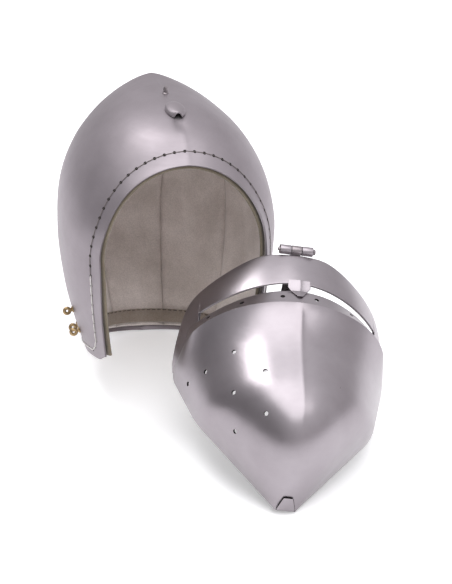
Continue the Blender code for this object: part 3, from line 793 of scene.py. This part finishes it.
def build_stitches():
    """Thread from hole to hole; dark round the arch, pale down the legs and along the hem."""
    heights = (-1.0, -0.2, 0.36, 0.42, 0.44, 0.42, 0.36, -0.2, -1.0)
    shares = (0.0, 0.03, 0.13, 0.3, 0.5, 0.7, 0.87, 0.97, 1.0)
    tones = {True: bmesh.new(), False: bmesh.new()}
    for (p0, n0), (p1, n1) in zip(STITCH_HOLES, STITCH_HOLES[1:]):
        arch = p0.z > ARCH_FOOT_Z
        path = []
        for share, height in zip(shares, heights):
            bow = 0.10 * math.sin(math.pi * share)
            path.append(p0.lerp(p1, share) + n0.lerp(n1, share).normalized() * (height + bow))
        add_tube(tones[arch], path, 0.30 if arch else 0.62, 6)
    # Each hole holds a thread knot whose near-black colour paints the shade in the hole.
    knots = bmesh.new()
    for here, normal in STITCH_HOLES:
        add_lathe(knots, here, normal, KNOT_PROFILE, 12)
    make("stitching_arch", tones[True], ARCH_THREAD, HELMET, "skull", ["stitching_thread"])
    make("stitching_hem", tones[False], THREAD, HELMET, "skull")
    make("stitching_knots_hole_shade", knots, HOLE_SHADE_KNOT_THREAD, HELMET, "skull")


def frame_at(angle, z, offset=0.0):
    here = skull_point(angle, z, offset)
    out = skull_normal(angle, z)
    side = (skull_point(angle + 0.02, z) - skull_point(angle - 0.02, z)).normalized()
    return here, out, out.cross(side).normalized(), side


def build_stud(name, node, angle, z):
    """A vervelle: foot collar, waisted stem and a cast ring."""
    here, out, _, side = frame_at(angle, z, 0.35)
    bm = bmesh.new()
    profile = ((3.0, 0.0), (3.1, 0.4), (2.9, 0.8), (2.1, 1.1), (1.8, 1.7), (1.9, 2.3), (2.3, 2.9), (2.0, 3.4))
    add_lathe(bm, here, out, profile, 20)
    add_ring(bm, here + out * 5.9, side, out, 2.6, 1.6, 28, 12)
    make(name, bm, BRASS, HELMET, "skull", [node], sharp=50.0)


def build_studs():
    last = 2 * math.pi - STUD_START
    for i in range(NAPE_STUDS):
        angle = STUD_START + (last - STUD_START) * i / (NAPE_STUDS - 1)
        node = "vervelle_%02d" % (i + 1)
        away = abs(angle - math.pi) / (math.pi - FACE_FOOT)
        build_stud(node + "_cast", node, angle, STUD_Z + STUD_RISE * away)
    for node, angle in (("cheek_vervelle_left", STUD_START), ("cheek_vervelle_right", last)):
        build_stud(node + "_cast", node, angle, CHEEK_STUD_Z)


def inside_skull(p):
    width, front, back, middle = section(min(p.z, APEX_Z - 0.01))
    depth = front if p.y < middle else back
    return (p.x / max(width, 0.1)) ** 2 + ((p.y - middle) / max(depth, 0.1)) ** 2 < 1.0


def skull_drop(here, out, up, side, a, b):
    probe = here + side * a + up * b
    low, high = -20.0, 20.0
    for _ in range(24):
        mid = 0.5 * (low + high)
        if inside_skull(probe + out * mid):
            low = mid
        else:
            high = mid
    return probe + out * high


def build_socket():
    """The domed hood that the hinge leaf slides under, open at its lower lip."""
    here, out, up, side = frame_at(0.0, SOCKET_Z)
    rows, cols = 28, 32
    outer = []
    inner = []
    for i in range(rows + 1):
        row_out = []
        row_in = []
        along = -1.0 + 2.0 * i / rows
        half = SOCKET_WIDE * math.sqrt(max(1.0 - (0.93 * along) ** 2, 0.0))
        length_dome = math.sqrt(max(1.0 - along * along, 0.0) * 0.8 + 0.2)
        for j in range(cols + 1):
            across = -1.0 + 2.0 * j / cols
            dome = math.sqrt(max(1.0 - across * across, 0.0)) * length_dome
            mouth = 2.6 * max(0.0, -along) ** 2 * max(0.0, 1.0 - across * across)
            flat = skull_drop(here, out, up, side, half * across, SOCKET_LONG * along)
            lift = 0.35 + SOCKET_RISE * dome + mouth
            row_out.append(flat + out * (lift + SOCKET_THICK))
            row_in.append(flat + out * lift)
        outer.append(row_out)
        inner.append(row_in)
    bm = plate(outer, inner)
    soften_rim(bm, 0.4)
    make("socket_hood", bm, SKULL_STEEL, HELMET, "skull", ["visor_socket"], inside=INSIDE_SHADE_AND_WELD_STEEL)


def build_peg():
    here, out, _, side = frame_at(0.0, PEG_Z, 0.4)
    bm = bmesh.new()
    profile = ((2.9, 0.0), (2.9, 0.6), (2.3, 1.1), (2.2, 6.0), (1.8, 6.8), (1.0, 7.1))
    add_lathe(bm, here, out, profile, 24)
    peg = make("catch_peg_turned", bm, HINGE_STEEL, HELMET, "skull", ["catch_peg"])
    middle = here + out * 4.2
    punch(peg, [(middle - side * 6.0, middle + side * 6.0, 0.9)], HELMET)


# Lining -----------------------------------------------------------------

def liner_wrinkle(p):
    """Soft hanging folds and small creases in the cloth, in millimetres."""
    fold = 2.2 * noise.noise(Vector((p.x * 0.045, p.y * 0.045, p.z * 0.012)))
    crease = 1.3 * noise.noise(Vector((p.x * 0.11, p.y * 0.11, p.z * 0.035 + 7.0)))
    fine = 0.25 * noise.noise(p * 0.3)
    return fold + crease + fine


def build_liner():
    rows, columns = 90, 44
    outer_off = -(STEEL + 0.7)
    foot = CHEEK_Z + 4.0
    for panel in range(len(LINER_SEAMS) + 1):
        outer = []
        inner = []
        for i in range(rows + 1):
            share = i / rows
            z_line = foot + (LINER_TOP_Z - foot) * (1.0 - (1.0 - share) ** 1.25)
            edge = face_angle(z_line, LINER_INSET - 1.5)
            bounds = [edge] + [math.radians(a) for a in LINER_SEAMS] + [2 * math.pi - edge]
            seam = 0.1 / max(section(z_line)[0], 20.0)
            first = bounds[panel] + seam
            last = bounds[panel + 1] - seam
            row_out = []
            row_in = []
            for j in range(columns + 1):
                across = j / columns
                angle = first + (last - first) * across
                lift = (foot_z(signed(angle)) + 3.0 - foot) * (1.0 - share) ** 3
                width_mm = (last - first) * section(z_line)[0]
                border = min(across, 1.0 - across) * width_mm
                puff = 1.0 - math.exp(-border / 3.2)
                here = skull_raw(angle, z_line + lift)
                normal = skull_normal(angle, z_line + lift)
                depth = 1.2 + (LINER_THICK - 1.0) * puff + liner_wrinkle(here) * puff
                depth = max(0.8, min(depth, LINER_THICK + 1.2))
                row_out.append(here + normal * outer_off)
                row_in.append(here + normal * (outer_off - depth))
            outer.append(row_out)
            inner.append(row_in)
        name = "lining_panel_%d" % (panel + 1)
        node = "liner_panel_%d" % (panel + 1)
        pad = make(name, plate(outer, inner), LINEN, HELMET, "skull", [node], 60.0)


def build_hem():
    columns, rows = 260, 10
    base = -(STEEL + LINER_GAP) - LINER_THICK
    outer = []
    inner = []
    edge = face_angle(CHEEK_Z + 10.0, LINER_INSET + 6.0)
    for i in range(rows + 1):
        row_out = []
        row_in = []
        for j in range(columns + 1):
            angle = edge + (2 * math.pi - 2 * edge) * j / columns
            z = foot_z(signed(angle)) + 4.0 + HEM_HEIGHT * i / rows
            here = skull_raw(angle, z)
            normal = skull_normal(angle, z)
            pucker = 0.25 * math.sin(j * 0.9) * (i / rows) ** 2 + 0.3 * noise.noise(here * 0.12)
            fat = 1.7 * math.sin(math.pi * (0.12 + 0.76 * i / rows)) ** 0.5
            row_out.append(here + normal * (base - 0.6))
            row_in.append(here + normal * (base - 0.9 - fat - pucker))
        outer.append(row_out)
        inner.append(row_in)
    make("lining_hem", plate(outer, inner), HEM, HELMET, "skull", ["liner_hem"], 60.0)
    bm = bmesh.new()
    row = inner[rows - 1]
    for j in range(2, columns - 4, 5):
        start = row[j]
        end = row[j + 3]
        inward = Vector((-(start.x), -(start.y), 0.0)).normalized()
        path = [start, start.lerp(end, 0.3) + inward * 0.45, start.lerp(end, 0.7) + inward * 0.45, end]
        add_tube(bm, path, 0.35, 6)
    make("hem_stitches", bm, DARK_THREAD, HELMET, "skull")


def build_binding():
    """Folded suede strip that shows just inside the steel edge of the opening."""
    steps = 260
    base = -(STEEL + LINER_GAP)
    profile = ((6.0, base - 0.3), (3.0, base - 0.1), (1.0, base - 0.1), (-0.2, base - 0.5),
               (-0.7, base - 1.4), (-0.3, base - 2.4), (1.0, base - 3.2), (3.4, base - 4.0),
               (6.0, base - 4.4))
    bm = bmesh.new()
    rings = []
    for i in range(steps + 1):
        t = -1.0 + 2.0 * i / steps
        wobble = 0.25 * noise.noise(Vector((t * 18.0, 3.0, 0.0)))
        rings.append([bm.verts.new(edge_point(t, grow + wobble, off)) for grow, off in profile])
    count = len(profile)
    for a, b in zip(rings, rings[1:]):
        for j in range(count):
            k = (j + 1) % count
            bm.faces.new((a[j], a[k], b[k], b[j]))
    bm.faces.new(rings[0])
    bm.faces.new(list(reversed(rings[-1])))
    make("edge_binding", bm, SUEDE_WITH_PAINTED_SHADE, HELMET, "skull", ["liner_edge_binding"], 60.0)


# Visor ------------------------------------------------------------------

def build_band():
    turns = []
    for i in range(140):
        turns.append(-BAND_END + 2.0 * BAND_END * i / 139)
    near = [-SLOT_END - 0.12, -SLOT_END + 0.02, SLOT_END - 0.02, SLOT_END + 0.12]
    turns = sorted([t for t in turns if all(abs(t - n) > 0.4 for n in near)] + near)
    rows = 26
    outer = []
    for i in range(rows + 1):
        row = []
        for turn in turns:
            top = eased(band_top, turn, min(4.0, BAND_END - abs(turn)))
            foot = band_foot(abs(turn))
            z = top + (foot - top) * i / rows
            width, front, middle = brow_section(z)
            a = math.radians(turn)
            x = (width + BAND_OUT) * math.sin(a)
            row.append(Vector((x, middle - (front + BAND_OUT) * math.cos(a), z)))
        outer.append(row)
    inner = thicken(outer, STEEL)
    bm = plate(outer, inner)
    soften_rim(bm, 0.45)
    make("brow_band_plate", bm, VISOR_STEEL, VISOR, "visor", ["visor_brow_band"],
         inside=INSIDE_SHADE_AND_WELD_STEEL)


BREATH_HOLES = (
    (-22.5, 0.37), (-37.8, 0.23), (-59.0, 0.27), (-76.0, 0.265),
    (-30.4, 0.59), (-45.8, 0.44), (-61.6, 0.61),
)
LEDGE_HOLES = (-78.6, -51.7, -16.0, 16.0, 51.7, 78.6)


def hole_rod(surface, a, b, radius):
    here = surface(a, b)
    across = surface(a + 0.02, b) - surface(a - 0.02, b)
    down = surface(a, b + 0.01) - surface(a, b - 0.01)
    normal = across.cross(down).normalized()
    return here - normal * 6.0, here + normal * 6.0, radius


def build_mask():
    columns = 150
    turns = [-math.pi / 2 + math.pi * j / columns for j in range(columns + 1)]
    grid = []
    ledge_rows = 12
    for i in range(ledge_rows):
        grid.append([ledge_point(turn, i / ledge_rows) for turn in turns])
    rows = 110
    for i in range(rows + 1):
        grid.append([mask_point(turn, i / rows) for turn in turns])
    bm = plate(grid, thicken(grid, STEEL))
    soften_rim(bm, 0.45)
    mask = make("mask_plate", bm, VISOR_STEEL, VISOR, "visor", ["visor_mask"],
                inside=INSIDE_SHADE_AND_WELD_STEEL)
    rods = [hole_rod(mask_point, math.radians(turn), v, BREATH_DIAMETER / 2) for turn, v in BREATH_HOLES]
    rods += [hole_rod(ledge_point, math.asin(x / LEDGE_REACH), 0.5, BREATH_DIAMETER / 2) for x in LEDGE_HOLES]
    punch(mask, rods, VISOR)


def build_bridge():
    rows = 30
    outer = []
    inner = []
    for i in range(rows + 1):
        z = BRIDGE_TOP_Z - 1.5 + (CREASE_Z + 9.0 - BRIDGE_TOP_Z) * i / rows
        taper = max(0.0, (i / rows - 0.45) / 0.55)
        half = 10.8 - 8.6 * taper
        proud = 0.4 + 0.9 * min(1.0, i / rows * 2.0)
        share = min(max((z - CREASE_Z) / (SLOT_Z - SLOT_HALF - CREASE_Z), 0.0), 1.0)
        ledge_y = brow_point(0.0, slot_z(0.0) - SLOT_HALF, LEDGE_OUT).y
        face = ledge_y * share + CREASE_Y * (1.0 - share)
        row_out = []
        row_in = []
        for j in range(17):
            x = half * (-1.0 + j / 8)
            y = face + 0.05 * abs(x) - 0.45
            ridge = 0.9 * math.exp(-abs(x) / 3.0)
            row_out.append(Vector((x, y - proud - ridge, z)))
            row_in.append(Vector((x, y, z)))
        outer.append(row_out)
        inner.append(row_in)
    bm = plate(outer, inner)
    soften_rim(bm, 0.35)
    make("nasal_bridge_plate", bm, VISOR_STEEL, VISOR, "visor", ["nasal_bridge"])


def build_tab():
    """The folded chin tab on its dark weld line; stations are (height, half width, y)."""
    stations = ((TIP_Z + 7.5, 4.4, TIP_Y - 12.5), (TIP_Z + 1.0, 8.0, TIP_Y - 4.0),
                (TIP_Z - 1.6, 8.8, TIP_Y - 0.5))
    tab_plate("chin_tab_weld", stations, 0.5, 0.3, INSIDE_SHADE_AND_WELD_STEEL, ())
    tab_plate("chin_tab_plate", stations, 0.0, 1.4, VISOR_STEEL, ["chin_tab"])


def tab_plate(name, stations, wider, thick, mat, nodes):
    outer = []
    inner = []
    for (z0, h0, y0), (z1, h1, y1) in zip(stations, stations[1:]):
        for i in range(6):
            s = i / 6
            z, half, y = z0 + (z1 - z0) * s, h0 + (h1 - h0) * s + wider, y0 + (y1 - y0) * s
            if z > TIP_Z + 1.0:
                z += wider
                y -= wider
            outer.append([Vector((half * (-1.0 + k / 5), y - thick - 0.4 * (1 - (k / 5 - 1) ** 2), z))
                          for k in range(11)])
            inner.append([Vector((half * (-1.0 + k / 5), y, z)) for k in range(11)])
    bm = plate(outer, inner)
    soften_rim(bm, 0.3)
    make(name, bm, mat, VISOR, "visor", nodes)


# Hinge ------------------------------------------------------------------

def knuckle(x0, x1, centre):
    """A rolled hinge knuckle with eased ends, bored for the pin."""
    bm = bmesh.new()
    sides = 40
    bore = PIN_RADIUS + 0.3
    r = BARREL_RADIUS
    ease = 0.6
    profile = ((bore, x0 + 0.2), (bore + 0.3, x0), (r - ease, x0), (r - 0.15, x0 + 0.2), (r, x0 + ease),
               (r, x1 - ease), (r - 0.15, x1 - 0.2), (r - ease, x1), (bore + 0.3, x1), (bore, x1 - 0.2))
    rings = []
    for radius, x in profile:
        rings.append([bm.verts.new(centre + Vector((x, radius * math.cos(2 * math.pi * j / sides),
                                                    radius * math.sin(2 * math.pi * j / sides))))
                      for j in range(sides)])
    rings.append(rings[0])
    for a, b in zip(rings, rings[1:]):
        for j in range(sides):
            k = (j + 1) % sides
            bm.faces.new((a[j], a[k], b[k], b[j]))
    return bm


def build_hinge():
    centre = Vector((0.0, HINGE_Y, HINGE_Z))
    for side, x0, x1 in (("right", -KNUCKLE_END, -KNUCKLE_START), ("left", KNUCKLE_START, KNUCKLE_END)):
        make("knuckle_" + side, knuckle(x0, x1, centre), VISOR_STEEL, VISOR, "visor",
             ["outer_knuckle_" + side])
    bm = bmesh.new()
    profile = ((1.0, -17.6), (1.5, -17.3), (1.7, -16.8), (1.7, 16.4), (2.5, 16.5), (2.8, 17.0), (2.7, 18.0),
               (2.0, 18.6), (0.9, 18.8))
    add_lathe(bm, centre, Vector((1.0, 0.0, 0.0)), profile, 28)
    make("hinge_pin_peened", bm, HINGE_STEEL, VISOR, "visor", ["hinge_pin"])

    bm = knuckle(-LEAF_KNUCKLE, LEAF_KNUCKLE, Vector((0.0, 0.0, 0.0)))
    along = Vector((0.0, math.sin(LEAF_HANG), math.cos(LEAF_HANG)))
    face = Vector((0.0, -math.cos(LEAF_HANG), math.sin(LEAF_HANG)))
    outer = []
    inner = []
    rows = 34
    for i in range(rows + 1):
        reach = 3.4 + (LEAF_LENGTH - 3.4) * i / rows
        half = LEAF_KNUCKLE
        if reach > 8.0:
            half = LEAF_KNUCKLE + 1.6 * min(1.0, (reach - 8.0) / 6.0)
        tail = max(0.0, (reach - (LEAF_LENGTH - 9.0)) / 9.0)
        half = half * math.sqrt(max(1.0 - (0.75 * tail) ** 2, 0.0))
        spread = [Vector((half * (-1.0 + k / 4), 0.0, 0.0)) for k in range(9)]
        outer.append([along * reach + face * 1.1 + step for step in spread])
        inner.append([along * reach - face * 0.7 + step for step in spread])
    blade = plate(outer, inner)
    soften_rim(blade, 0.3)
    mesh = bpy.data.meshes.new("blade")
    blade.to_mesh(mesh)
    blade.free()
    bm.from_mesh(mesh)
    bpy.data.meshes.remove(mesh)
    leaf = make("hinge_leaf_forged", bm, HINGE_STEEL, LEAF, "hinge_leaf", ["hinge_leaf"])
    hole = along * (LEAF_LENGTH - 8.0)
    punch(leaf, [(hole - face * 6.0, hole + face * 6.0, 2.6)], LEAF)


# Stage ------------------------------------------------------------------

def build_floor():
    bpy.context.scene.view_settings.view_transform = "Standard"
    mesh = bpy.data.meshes.new("floor")
    half = 30.0
    mesh.from_pydata([(-half, -half, 0.0), (half, -half, 0.0), (half, half, 0.0), (-half, half, 0.0)], [],
                     [(0, 1, 2, 3)])
    obj = bpy.data.objects.new("floor", mesh)
    bpy.context.scene.collection.objects.link(obj)
    mat, _, shader = node_material("pale_floor")
    shader.inputs["Base Color"].default_value = (0.90, 0.90, 0.91, 1.0)
    shader.inputs["Emission Color"].default_value = (1.0, 1.0, 1.0, 1.0)
    shader.inputs["Emission Strength"].default_value = 0.30
    shader.inputs["Roughness"].default_value = 0.9
    shader.inputs["Specular IOR Level"].default_value = 0.1
    mesh.materials.append(mat)


def area_light(name, target, direction, distance, size, power, colour=(1.0, 1.0, 1.0)):
    light = bpy.data.lights.new(name, "AREA")
    light.shape = "RECTANGLE"
    light.size = size[0]
    light.size_y = size[1]
    light.energy = power
    light.color = colour
    obj = bpy.data.objects.new(name, light)
    bpy.context.scene.collection.objects.link(obj)
    out = direction.normalized()
    obj.location = target + out * distance
    obj.rotation_mode = "QUATERNION"
    obj.rotation_quaternion = out.to_track_quat("Z", "Y")
    return obj


def direction(azimuth, elevation):
    """Azimuth 0 is the front (-Y) and grows towards +X."""
    a = math.radians(azimuth)
    e = math.radians(elevation)
    return Vector((math.sin(a) * math.cos(e), -math.cos(a) * math.cos(e), math.sin(e)))


def mask_highlight(turn, v):
    """Where a light must stand, as a direction, for the mask to mirror it to the camera."""
    here = mask_point(turn, v)
    across = mask_point(turn + 0.02, v) - mask_point(turn - 0.02, v)
    down = mask_point(turn, v + 0.01) - mask_point(turn, v - 0.01)
    normal = (VISOR.to_3x3() @ down.cross(across)).normalized()
    seen = view_direction()
    if normal.dot(seen) < 0.0:
        normal.negate()
    return VISOR @ (here * MM), (2.0 * normal.dot(seen) * normal - seen).normalized()


def build_lights():
    world = bpy.context.scene.world or bpy.data.worlds.new("studio")
    bpy.context.scene.world = world
    world.use_nodes = True
    tree = world.node_tree
    back = tree.nodes["Background"]
    coords = tree.nodes.new("ShaderNodeTexCoord")
    split = tree.nodes.new("ShaderNodeSeparateXYZ")
    tree.links.new(coords.outputs["Generated"], split.inputs["Vector"])
    height = ramp_node(tree, split.outputs["Z"],
                       ((0.0, (0.74, 0.72, 0.74)), (0.20, (0.80, 0.78, 0.80)), (0.5, (0.98, 0.97, 0.99)),
                        (1.0, (1.15, 1.15, 1.18))))
    side = tree.nodes.new("ShaderNodeMapRange")
    side.interpolation_type = "SMOOTHSTEP"
    side.inputs["From Min"].default_value = -1.0
    side.inputs["From Max"].default_value = 0.1
    side.inputs["To Min"].default_value = 0.40
    side.inputs["To Max"].default_value = 1.0
    tree.links.new(split.outputs["X"], side.inputs["Value"])
    mix = tree.nodes.new("ShaderNodeMix")
    mix.data_type = "RGBA"
    mix.blend_type = "MULTIPLY"
    mix.inputs[0].default_value = 1.0
    tree.links.new(height.outputs["Color"], mix.inputs[6])
    tree.links.new(side.outputs["Result"], mix.inputs[7])
    tree.links.new(mix.outputs[2], back.inputs["Color"])
    back.inputs["Strength"].default_value = 1.0
    spot, toward = mask_highlight(math.radians(-27.0), 0.36)
    area_light("key_box", spot, toward, 1.6, (0.28, 0.60), 7.0)
    area_light("top_box", Vector((0.0, 0.0, 0.14)), direction(25.0, 78.0), 2.2, (2.2, 2.2), 30.0)


def view_direction():
    """From the object towards the camera."""
    flat = math.cos(VIEW_ELEVATION)
    return Vector((math.sin(VIEW_AZIMUTH) * flat, -math.cos(VIEW_AZIMUTH) * flat, math.sin(VIEW_ELEVATION)))


def build_camera():
    """The camera at the picture's azimuth and elevation, aimed between skull and visor."""
    camera = bpy.data.cameras.new("camera")
    obj = bpy.data.objects.new("camera", camera)
    bpy.context.scene.collection.objects.link(obj)
    camera.sensor_width = 36.0
    camera.lens = camera.sensor_width * (PICTURE_SCALE / MM) * CAMERA_DISTANCE / PICTURE_HEIGHT
    camera.clip_end = 100.0
    back = view_direction()
    right = Vector((math.cos(VIEW_AZIMUTH), math.sin(VIEW_AZIMUTH), 0.0))
    up = back.cross(right)
    anchor = HELMET @ Vector((0.0, 0.0, 0.130))
    target = anchor + right * 0.0566 - up * 0.0783
    obj.location = target + back * CAMERA_DISTANCE
    obj.rotation_mode = "QUATERNION"
    obj.rotation_quaternion = back.to_track_quat("Z", "Y")
    bpy.context.scene.camera = obj


build_camera()
build_floor()
build_lights()
build_skull()
build_stitches()
build_studs()
build_socket()
build_peg()
build_liner()
build_hem()
build_binding()
build_band()
build_mask()
build_bridge()
build_tab()
build_hinge()
